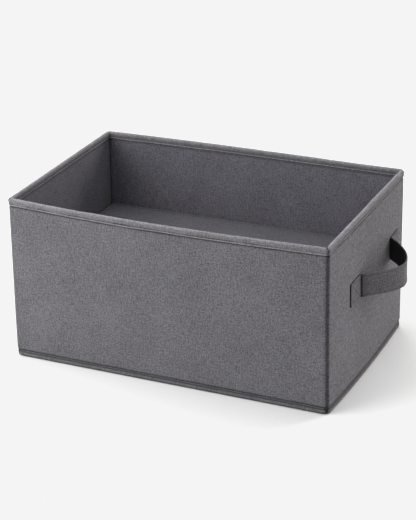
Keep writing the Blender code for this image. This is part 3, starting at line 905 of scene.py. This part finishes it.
footPath = outlinePath(halfLong, halfWide, footShape["cornerRadius"], footShape["step"], 14)
footCloth = carryProfile("footBandCloth", footPath, *footProfile(footPath))
dress(footCloth, "binding_cloth", "shell", "foot_band")
footRow = stitchRow("footStitches", *pathStitches(footPath, footShape["stitchPull"] - stitchShape["proud"],
                                                  footStitchZ))
dress(footRow, "thread", "shell", "foot_thread")
print("stage: rim binding and foot band")


seamShape = {
    "radius": 0.75 * mm,
    "fromEnd": 0.78 * mm,         # its middle lies this far inside the end wall's face
    "fromLong": 1.15 * mm,        # and this far inside the long wall's
    "step": 1.0 * mm,
    "sides": 10,
}


def makeCornerSeam(side, end):
    # a thin roll of seam allowance deep in the groove of one upright corner
    low, high = boxOf[f"corner_seam_{side}_{end}"]
    centre = (low + high) / 2
    outX, outY = np.sign(centre[0]), np.sign(centre[1])
    z = np.linspace(low[2], high[2], int((high[2] - low[2]) / seamShape["step"]))
    turn = 2 * math.pi * np.arange(seamShape["sides"]) / seamShape["sides"]
    a, b = np.meshgrid(z, turn, indexing="ij")
    twist = np.sin(a * 2 * math.pi / stitchShape["pitch"])
    radius = seamShape["radius"] * (1 + 0.12 * twist + 0.06 * ripple(a, b * mm, 0.012, 71))
    x = outX * (faceLong - seamShape["fromEnd"]) + radius * np.cos(b)
    y = outY * (faceWide - seamShape["fromLong"]) + radius * np.sin(b)
    uv = np.stack(np.meshgrid(z, np.linspace(0, 2 * math.pi * seamShape["radius"], seamShape["sides"] + 1),
                              indexing="ij"), -1)
    # painted shade on the roll, darkest on its inward side and much lighter in the front left corner
    shade = 0.78 + 0.20 * np.cos(b - math.atan2(outY, outX) + math.pi)
    shade = shade * (0.35 if (side, end) == ("front", "left") else 1.0)
    obj = gridPiece(f"cornerSeamRoll_{side}_{end}", np.stack([x, y, a], -1), uv, closeCols=True, capEnds=True,
                    flip=True, paintedShading=shade)
    dress(obj, "binding_cloth", "shell", f"corner_seam_{side}_{end}")
    row = boxOf[f"corner_thread_{side}_{end}"]
    x = (row[0][0] + row[1][0]) / 2
    zLow, zHigh = row[0][2] + 4 * mm, row[1][2] - 1 * mm
    centres, along = straightStitches((x, 0, zLow), (x, 0, zHigh))
    reach = faceLong - wallShape["edgeRoll"]
    off = wallOffset(centres[:, 0], centres[:, 2], reach, wallShape["longBulge"], wallShape["seeds"][side])
    centres[:, 1] = outY * (faceWide + off + 0.02 * mm)
    centres = bowed(centres)
    out = np.tile([0.0, outY, 0.0], (len(centres), 1))
    stitches = stitchRow(f"cornerStitches_{side}_{end}", centres, along, out)
    dress(stitches, "thread", "shell", f"corner_thread_{side}_{end}")


for cornerSide in ("front", "back"):
    for cornerEnd in ("left", "right"):
        makeCornerSeam(cornerSide, cornerEnd)
print("stage: corner seams")


insertShape = {
    "edgeRadius": 2.3 * mm,
    "corner": 6.0 * mm,
    "cushion": 0.5 * mm,
    "stitchPull": 0.45 * mm,
    "edgeSwell": 0.30 * mm,       # between its edge and the stitches
    "topShade": 0.21,                 # how much darker painted shade makes its whole top
    "edgeHighlight": 0.90,              # how much lighter painted highlight makes its edge
    "hem": 18 * mm,               # how far it is turned under the board
    "hemThick": 0.7 * mm,
    "edgeWrap": 6 * mm,           # cloth that goes over each edge
}
insertLow, insertHigh = boxOf["insert_cover"]
insertHalf = insertHigh[:2]
insertStitch = insertHigh[0] - boxOf["insert_thread"][1][0] + 0.2 * mm


def makeInsertCover():
    # cloth wrapped round the board: outlines from the middle of the top, over the edge, to the hem below
    path = outlinePath(insertHalf[0], insertHalf[1], insertShape["corner"], 3.0 * mm, 10)
    r = insertShape["edgeRadius"]
    top, low = insertHigh[2], insertLow[2]
    turn = np.linspace(0, math.pi / 2, 6)
    middle, hem, hemTop = insertHalf[1] - 0.3 * mm, insertShape["hem"], low + insertShape["hemThick"]
    flatIn = np.concatenate([np.linspace(middle, 12 * mm, 26), np.linspace(10.8 * mm, r, 12)])
    depth = np.concatenate([flatIn, r - r * np.sin(turn)[1:], [0.0],
                            r - r * np.cos(turn)[1:], np.linspace(r, hem, 5)[1:],
                            [hem + 0.2 * mm], np.linspace(hem + 4 * mm, middle, 8)])
    height = np.concatenate([np.full(len(flatIn), top), top - r + r * np.cos(turn)[1:], [(top + low) / 2],
                             low + r - r * np.sin(turn)[1:], np.full(4, low), np.full(9, hemTop)])
    depth, height = allRound(depth, path), allRound(height, path)
    flat = outlineAt(path, depth)
    isTop = height > (top + low) / 2
    wave = ripple(flat[..., 0], flat[..., 1], 0.10, 81) + 0.4 * ripple(flat[..., 0], flat[..., 1], 0.035, 82)
    lift = insertShape["cushion"] * 0.5 * wave * smoothStep((depth - 8 * mm) / (25 * mm))
    lift -= insertShape["stitchPull"] * bell(depth - insertStitch, 0.9 * mm)
    lift += insertShape["edgeSwell"] * bell(depth - 2.6 * mm, 1.6 * mm)
    height = height + lift * isTop
    points = np.concatenate([flat, height[..., None]], -1)
    uv = np.concatenate([flat, flat[:1]], 0) + 8.0
    # painted shade over the top and along the stitches, painted highlight along the edge
    shade = insertShape["topShade"] + 0.35 * bell(depth - insertStitch, 0.7 * mm)
    shade = shade - insertShape["edgeHighlight"] * bell(depth - 0.6 * mm, 1.3 * mm)
    obj = gridPiece("insertCoverCloth", points, uv, closeRows=True, paintedShading=shade * isTop)
    closeMiddle(obj)
    dress(obj, "lining_cloth", "base_insert", "insert_cover")
    centres, along = pathStitches(path, insertStitch, top - insertShape["stitchPull"] + 0.1 * mm)[:2]
    row = stitchRow("insertStitches", centres, along, np.tile([0.0, 0.0, 1.0], (len(centres), 1)))
    dress(row, "thread", "base_insert", "insert_thread")


makeInsertCover()
print("stage: base insert")


strapShape = {
    "rise": 33.4 * mm,            # how far the loop stands off the wall
    "frontCurve": 1.42,           # 1 is a straight slope up to the middle of the loop, 2 a parabola
    "backCurve": 2.2,
    "turnIn": 1.7 * mm,           # softness of the bend where the loop leaves the wall
    "rootPull": 0.75 * mm,        # how far the cloth is drawn in along that bend
    "cup": 0.05,                  # edges of the strap leave the wall this much sooner at the back
    "sag": 3.6 * mm,
    "slant": 0.022,               # the back end is sewn on slightly higher
    "lift": 1.6 * mm,
    "webbing": 0.8 * mm,
    "cloth": 1.15 * mm,
    "foldWidth": 5.0 * mm,        # turned-in edge, slightly thicker
    "stitchInset": 2.6 * mm,
    "pitch": 2.7 * mm,
    "pivotEnd": 24.0 * mm,        # distance from the wall where the loop is fully swinging
    "pivotStart": 5.0 * mm,       # and where it begins to swing
    "tabOverhang": 0.9 * mm,      # webbing showing past the cloth at the sewn ends
    "webbingInset": 0.6 * mm,     # how much narrower the webbing is on each side
    "boxInset": 3.2 * mm,         # from the strap's edges to its sewn box
    "stitchLength": 1.9 * mm,
    "stitchRadius": 0.22 * mm,
    "boxRadius": 0.30 * mm,
    "facePoints": 53,             # points across one face of the strap
}


def strapPlan(end):
    # middle of the strap along the wall, half the loop's chord and where the sewn ends stop
    front, back = boxOf[f"handle_{end}_strap_end_front"], boxOf[f"handle_{end}_strap_end_back"]
    middle = (front[0][1] + back[1][1]) / 2
    return {"middle": middle, "chord": (back[0][1] - front[1][1]) / 2,
            "reach": (back[1][1] - front[0][1]) / 2,
            "z": (front[0][2] + front[1][2]) / 2, "half": (front[1][2] - front[0][2]) / 2}


def loopRise(t):
    # rise * (1 - |t|^p), straighter in front and rounder behind, that melts into the wall:
    # half of r + sqrt(r^2 + softness^2)
    power = np.where(t < 0, strapShape["frontCurve"], strapShape["backCurve"])
    r = strapShape["rise"] * (1 - np.abs(t) ** power)
    return 0.5 * (r + np.sqrt(r * r + strapShape["turnIn"] ** 2)) - 0.05 * mm


def strapLine(plan, overhang=0.0):
    # points along the strap, as wall positions and as fractions of the loop's half chord
    t = np.linspace(-1, 1, 321) * (plan["reach"] + overhang) / plan["chord"]
    return t, plan["middle"] + t * plan["chord"]


def sewnHeight(plan, y):
    # the strap is sewn on at a slight slant
    return strapShape["lift"] + strapShape["slant"] * (y - plan["middle"])


def boxLines(plan, y, z):
    # nearness to the sewn box and its cross on each strap end, 0 to 1
    near = np.zeros(np.broadcast(y, z).shape)
    inset = strapShape["boxInset"]
    for sign in (-1, 1):
        inner = plan["middle"] + sign * (plan["chord"] + inset)
        outer = plan["middle"] + sign * (plan["reach"] - inset)
        u = (y - inner) / (outer - inner)
        v = z / (plan["half"] - inset)
        wide = abs(outer - inner)
        inside = smoothStep((0.5 - np.abs(u - 0.5)) / 0.02 + 1) * smoothStep((1 - np.abs(v)) / 0.05 + 1)
        cross = np.minimum(np.abs(v - (2 * u - 1)), np.abs(v + (2 * u - 1))) * (plan["half"] - inset) * 0.75
        border = np.minimum(np.minimum(np.abs(u), np.abs(1 - u)) * wide,
                            np.minimum(np.abs(v - 1), np.abs(v + 1)) * (plan["half"] - inset))
        near = np.maximum(near, bell(np.minimum(cross, border), 0.5 * mm) * inside)
    return near


def strapSection(half, thickness, fold, inset):
    # closed outline of the strap: outer face, rounded edge, inner face, rounded edge
    face = np.linspace(-1, 1, strapShape["facePoints"]) * (half - 0.35 * mm)
    outer = thickness + 0.16 * mm * smoothStep((np.abs(face) - (half - fold)) / (1.0 * mm))
    outer = outer - 0.30 * mm * bell(np.abs(face) - (half - inset), 0.55 * mm)
    edge = np.array([half - 0.10 * mm, half, half - 0.10 * mm])
    edgeDepth = thickness * np.array([0.85, 0.5, 0.15])
    across = np.concatenate([face, edge, face[::-1], -edge])
    depth = np.concatenate([outer, edgeDepth, np.zeros(len(face)), edgeDepth[::-1]])
    return across, depth


def strapSurface(plan, end, sign, t, y, across, depth, base):
    # each point: wall + bulge + rise + depth along the plan normal, at its height across the strap
    edge = (across / plan["half"])[None, :]
    cupped = t[:, None] * (1 - strapShape["cup"] * edge ** 2 * smoothStep(t[:, None] / 0.6))
    rise = loopRise(cupped)
    slope = np.gradient(rise, y, axis=0)
    lean = 1 / np.sqrt(1 + slope ** 2)
    level = depth + base
    z = plan["z"] + across[None, :]
    offWall = rise + level * lean
    yy = y[:, None] - level * slope * lean
    follow = 1 - smoothStep(offWall / (30 * mm))
    wall = endWallOffset(yy, z, end) * follow + wallShape["endBulge"] * 0.9 * (1 - follow)
    sag = -strapShape["sag"] * smoothStep(offWall / (36 * mm))
    x = sign * (faceLong + wall + offWall)
    return bowed(np.stack([x, yy, z + sag + sewnHeight(plan, yy)], -1))


def strapPiece(name, plan, end, sign, half, thickness, base, overhang, fold, inset, sewn):
    t, y = strapLine(plan, overhang)
    across, depth = strapSection(half, thickness, fold, inset)
    level = np.repeat(depth[None], len(t), axis=0)
    outer = (np.arange(len(across)) < strapShape["facePoints"])[None, :]
    root = bell((np.abs(t) - 1)[:, None] * plan["chord"], 0.9 * mm)
    lines = boxLines(plan, y[:, None], across[None, :])
    if sewn:
        level = level - outer * (strapShape["rootPull"] * root + 0.30 * mm * lines * (root < 0.5))
    points = strapSurface(plan, end, sign, t, y, across, level, base)
    length = lengthAlong(points[:, 0])
    around = lengthAlong(np.column_stack([across, depth]))
    around = np.concatenate([around, [around[-1] + 0.4 * mm]])
    uv = np.stack(np.meshgrid(length, around, indexing="ij"), -1)[..., ::-1] + (0.5 if sign > 0 else 1.5)
    # painted shade at the loop's roots, along the sewn box and the edge stitches, on the sewn ends' edges and
    # on the cut ends
    sewnPart = smoothStep((np.abs(t)[:, None] - 1) * plan["chord"] / (1.0 * mm))
    rim = np.abs(across)[None, :] > half - 0.2 * mm
    ahead = (1 - np.abs(t))[:, None] * plan["chord"]
    root = bell(np.where(ahead > 0, ahead * 0.45, ahead), 0.9 * mm) + 0.4 * bell(ahead, 8 * mm) * (ahead > 0)
    shade = outer * (root + 0.65 * lines) + 0.3 * bell(np.abs(across) - (half - inset), 0.5 * mm) * outer
    shade = shade + 0.8 * rim * sewnPart + 0.85 * (np.abs(t) > np.abs(t).max() - 1e-6)[:, None]
    return gridPiece(name, points, uv, closeCols=True, capEnds=True, flip=sign < 0, paintedShading=shade * sewn)


def strapStitchRow(name, plan, end, sign):
    # two rows of stitches along the strap's edges
    t, y = strapLine(plan, -3.0 * mm)
    rows = []
    for edge in (-1, 1):
        across = np.array([edge * (plan["half"] - strapShape["stitchInset"])])
        top = strapShape["webbing"] + 0.1 * mm + strapShape["cloth"] - 0.12 * mm
        line = strapSurface(plan, end, sign, t, y, across, np.zeros((1, 1)), top)[:, 0]
        spot, along = spreadAlong(line, strapShape["pitch"], 0.4 * mm, whole=math.floor)
        out = np.cross(along, np.array([0.0, 0.0, 1.0])) * sign
        rows.append((spot, along, out * np.sign((out[:, :1] * sign).mean())))
    joined = [np.concatenate(part) for part in zip(*rows)]
    return stitchRow(name, *joined, strapShape["stitchLength"], strapShape["stitchRadius"])


def boxStitches(name, side, end, sign):
    # a sewn box with a cross in it on one strap end
    plan = strapPlan(end)
    toward = -1 if side == "front" else 1
    inset = strapShape["boxInset"]
    y0, y1 = sorted((plan["middle"] + toward * (plan["chord"] + inset),
                     plan["middle"] + toward * (plan["reach"] - inset)))
    z0, z1 = plan["z"] - plan["half"] + inset, plan["z"] + plan["half"] - inset
    corners = [(y0, z0), (y1, z0), (y1, z1), (y0, z1)]
    runs = [(corners[i], corners[(i + 1) % 4]) for i in range(4)]
    runs += [(corners[0], corners[2]), (corners[1], corners[3])]
    spots, alongs = [], []
    for a, b in runs:
        centres, along = straightStitches((0, *a), (0, *b), 2.5 * mm, 0.3 * mm)
        spots.append(centres)
        alongs.append(along)
    centres, along = np.concatenate(spots), np.concatenate(alongs)
    top = strapShape["webbing"] + strapShape["cloth"] - 0.02 * mm
    off = endWallOffset(centres[:, 1], centres[:, 2], end)
    rise = loopRise((centres[:, 1] - plan["middle"]) / plan["chord"])
    centres[:, 0] = sign * (faceLong + off + rise + top)
    centres[:, 2] += sewnHeight(plan, centres[:, 1])
    out = np.tile([sign, 0.0, 0.0], (len(centres), 1))
    return stitchRow(name, bowed(centres), along, out, strapShape["stitchLength"], strapShape["boxRadius"])


def makeHandle(end, sign):
    plan = strapPlan(end)
    web = strapPiece(f"strapWebbing_{end}", plan, end, sign, plan["half"] - strapShape["webbingInset"],
                     strapShape["webbing"], 0.15 * mm, strapShape["tabOverhang"], 0.1 * mm, 30 * mm, False)
    cloth = strapPiece(f"strapCloth_{end}", plan, end, sign, plan["half"], strapShape["cloth"],
                       strapShape["webbing"] + 0.2 * mm, 0.0, strapShape["foldWidth"],
                       strapShape["stitchInset"], True)
    for obj, finish, layer, under in ((web, "black_webbing", "webbing", f"outer_{end}"),
                                      (cloth, "strap_cloth", "strap", f"strapWebbing_{end}")):
        dress(obj, finish, None, f"handle_{end}_{layer}", f"handle_{end}_{layer}_end_front",
              f"handle_{end}_{layer}_end_back")
        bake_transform(obj)
    edge = strapStitchRow(f"strapStitches_{end}", plan, end, sign)
    dress(edge, "thread", None)
    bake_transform(edge)
    for side in ("front", "back"):
        row = boxStitches(f"boxStitches_{end}_{side}", side, end, sign)
        dress(row, "thread", "shell", f"handle_{end}_stitch_{side}")


makeHandle("right", 1.0)
makeHandle("left", -1.0)
print("stage: strap handles")


studio = {
    "floor": (0.93, 0.93, 0.93),
    "sky": 0.63,
    "backdrop": 1.3,              # the backdrop itself, brighter than the light it gives
    "floorSize": 1.6,
    "floorFade": (0.75, 1.35),    # metres from the middle over which the floor melts into the backdrop
    "whitest": 0.905,             # brightest the backdrop is shown
    "lights": {
        "key": {"place": (-0.72, -0.72, 0.63), "size": 1.15, "power": 14.3, "tint": (1.0, 1.0, 1.0)},
        "top": {"place": (-0.10, 0.30, 2.20), "size": 1.3, "power": 13.0, "tint": (1.0, 1.0, 1.0)},
        "back": {"place": (1.30, 1.50, 1.10), "size": 0.9, "power": 15.5, "tint": (1.0, 0.98, 0.97)},
        "right": {"place": (1.00, 1.32, 0.38), "size": 0.7, "power": 6.2, "tint": (1.0, 0.94, 0.89)},
        "backdrop": {"place": (-1.20, 2.20, 1.60), "size": 1.2, "power": 16.0, "tint": (1.0, 1.0, 1.0)},
    },
}
floorMesh = bpy.data.meshes.new("studioFloor")
floorCorners = [(x * studio["floorSize"], y * studio["floorSize"], -0.3 * mm)
                for x, y in ((-1, -1), (1, -1), (1, 1), (-1, 1))]
floorMesh.from_pydata(floorCorners, [], [(0, 1, 2, 3)])
floor = addObject("studioFloor", floorMesh)
floorMaterial, floorTree, floorShader = newMaterial("studioFloor")
floorShader.inputs["Base Color"].default_value = (*studio["floor"], 1.0)
floorShader.inputs["Roughness"].default_value = 0.9
floorShader.inputs["Specular IOR Level"].default_value = 0.0
floorPlace = makeNode(floorTree, "ShaderNodeTexCoord").outputs["Object"]
floorReach = makeNode(floorTree, "ShaderNodeVectorMath", {"operation": "LENGTH"})
floorTree.links.new(floorPlace, floorReach.inputs[0])
floorFade = makeNode(floorTree, "ShaderNodeMapRange", {"interpolation_type": "SMOOTHSTEP"},
                     Value=floorReach.outputs["Value"],
                     **{"From Min": studio["floorFade"][0], "From Max": studio["floorFade"][1],
                        "To Min": 1.0, "To Max": 0.0})
floorTree.links.new(floorFade.outputs[0], floorShader.inputs["Alpha"])
floorMesh.materials.append(floorMaterial)

world = bpy.data.worlds.new("studioSky")
bpy.context.scene.world = world
world.use_nodes = True
skyShader = world.node_tree.nodes["Background"]
skyShader.inputs["Color"].default_value = (1.0, 1.0, 1.0, 1.0)
seen = makeNode(world.node_tree, "ShaderNodeLightPath").outputs["Is Camera Ray"]
glow = mathNode(world.node_tree, "MULTIPLY_ADD", seen, studio["backdrop"] - studio["sky"], studio["sky"])
world.node_tree.links.new(glow, skyShader.inputs["Strength"])


def addAreaLight(name, place, size, power, tint, aim=(0.0, 0.0, 0.1)):
    lamp = bpy.data.lights.new(name, "AREA")
    lamp.shape = "DISK"
    lamp.size = size
    lamp.energy = power
    lamp.color = tint
    obj = addObject(name, lamp)
    obj.location = place
    obj.rotation_euler = (Vector(place) - Vector(aim)).to_track_quat("Z", "Y").to_euler()


for lightName, settings in studio["lights"].items():
    addAreaLight(f"{lightName}Light", **settings)

shot = {
    "azimuth": 25.12, "elevation": 23.69, "roll": -1.46,     # degrees
    "target": (-0.00257, 0.00045, 0.10341), "distance": 2.0058,
    "focal": 1713.4, "imageHeight": 520,      # both in the same units
    "sensor": 36.0,
}
turn, tilt, roll = (math.radians(shot[k]) for k in ("azimuth", "elevation", "roll"))
back = Vector((math.sin(turn) * math.cos(tilt), -math.cos(turn) * math.cos(tilt), math.sin(tilt)))
side = Vector((0, 0, 1)).cross(back).normalized()
up = back.cross(side)
sideRolled = side * math.cos(roll) + up * math.sin(roll)
upRolled = up * math.cos(roll) - side * math.sin(roll)
cameraData = bpy.data.cameras.new("studioCamera")
cameraData.sensor_fit = "VERTICAL"
cameraData.sensor_height = shot["sensor"]
cameraData.lens = shot["focal"] / shot["imageHeight"] * shot["sensor"]
camera = addObject("studioCamera", cameraData)
pose = Matrix((sideRolled, upRolled, back)).transposed().to_4x4()
pose.translation = Vector(shot["target"]) + back * shot["distance"]
camera.matrix_world = pose
bpy.context.scene.camera = camera

# the backdrop is shown at one even near-white however strongly it is lit
view = bpy.context.scene.view_settings
view.view_transform = "Standard"
view.look = "None"
view.use_curve_mapping = True
levels = view.curve_mapping
levels.extend = "HORIZONTAL"
whiteCurve = levels.curves[3].points
whiteCurve[0].location = (0.0, 0.0)
whiteCurve[1].location = (1.0, studio["whitest"])
levels.update()

print("stage: done")
